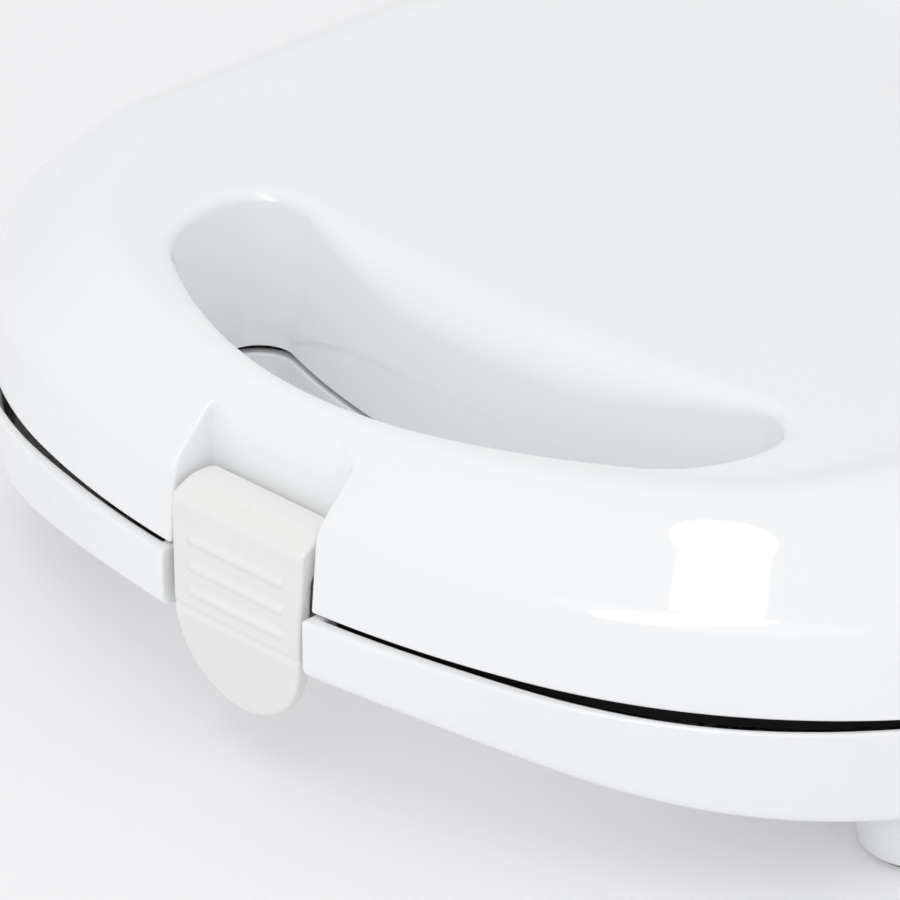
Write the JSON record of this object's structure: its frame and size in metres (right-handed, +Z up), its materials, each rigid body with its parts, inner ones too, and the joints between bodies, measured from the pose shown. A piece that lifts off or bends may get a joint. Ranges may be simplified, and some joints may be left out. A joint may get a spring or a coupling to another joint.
{
  "type": "sandwich toaster",
  "caption": "White sandwich toaster: rounded hinged lid with a finger opening behind its front bar, a swinging clip, and black plates with triangular pockets.",
  "frame": {"origin": "on the surface that the feet stand on, in the middle of the object's width and depth", "axes": "+Z up, +Y towards the hinge, +X to the right seen from the clip's side"},
  "size_m": [0.225, 0.2248, 0.0616],
  "materials": {
    "white_plastic": "glossy moulded plastic",
    "clip_plastic": "satin moulded plastic, slightly warmer than the casing",
    "black_plastic": "matt heat-resistant plastic",
    "nonstick": "dark non-stick coating on cast aluminium",
    "element_steel": "steel sheath, slightly darkened by heat",
    "reflector_aluminium": "bright sheet",
    "screw_steel": "zinc-plated steel",
    "pin_steel": "drawn steel rod",
    "thermostat_metal": "pressed metal",
    "fuse_metal": "metal can and leads",
    "pad_rubber": "soft moulded rubber",
    "terminal_plastic": "cream insulating plastic",
    "wire_sleeve": "glass-fibre sleeve",
    "red_lens": "translucent red",
    "green_lens": "translucent green",
    "lamp_glass": "clear bulb"
  },
  "bodies": {
    "base": {"base_casing": "white_plastic", "case_feet": "white_plastic", "foot_pads": "pad_rubber", "base_surround": "black_plastic", "lower_plate": "nonstick", "lower_element": "element_steel", "lower_reflector": "reflector_aluminium", "lower_plate_screws": "screw_steel", "base_screws": "screw_steel", "lower_thermostat": "thermostat_metal", "thermal_fuse": "fuse_metal", "cord_gland": "white_plastic", "cord_clamp": "terminal_plastic", "clamp_screws": "screw_steel", "terminal_block": "terminal_plastic", "base_wires": "wire_sleeve", "hinge_pins": "pin_steel"},
    "lid": {"lid_casing": "white_plastic", "lid_surround": "black_plastic", "upper_plate": "nonstick", "upper_element": "element_steel", "upper_reflector": "reflector_aluminium", "upper_plate_screws": "screw_steel", "lid_screws": "screw_steel", "upper_thermostat": "thermostat_metal", "power_lens": "red_lens", "ready_lens": "green_lens", "lamp_holder": "terminal_plastic", "neon_lamps": "lamp_glass", "latch_pin": "pin_steel"},
    "latch": {"latch": "clip_plastic"}
  },
  "joints": [
    {"name": "lid_hinge", "type": "hinge", "parent": "base", "child": "lid", "pos_m": [0, 0.10745, 0.0323], "axis": [-1, 0, 0], "range_deg": [0, 100]},
    {"name": "latch_pivot", "type": "hinge", "parent": "lid", "child": "latch", "pos_m": [0, -0.10525, 0.0414], "axis": [-1, 0, 0], "range_deg": [0, 35]}
  ]
}
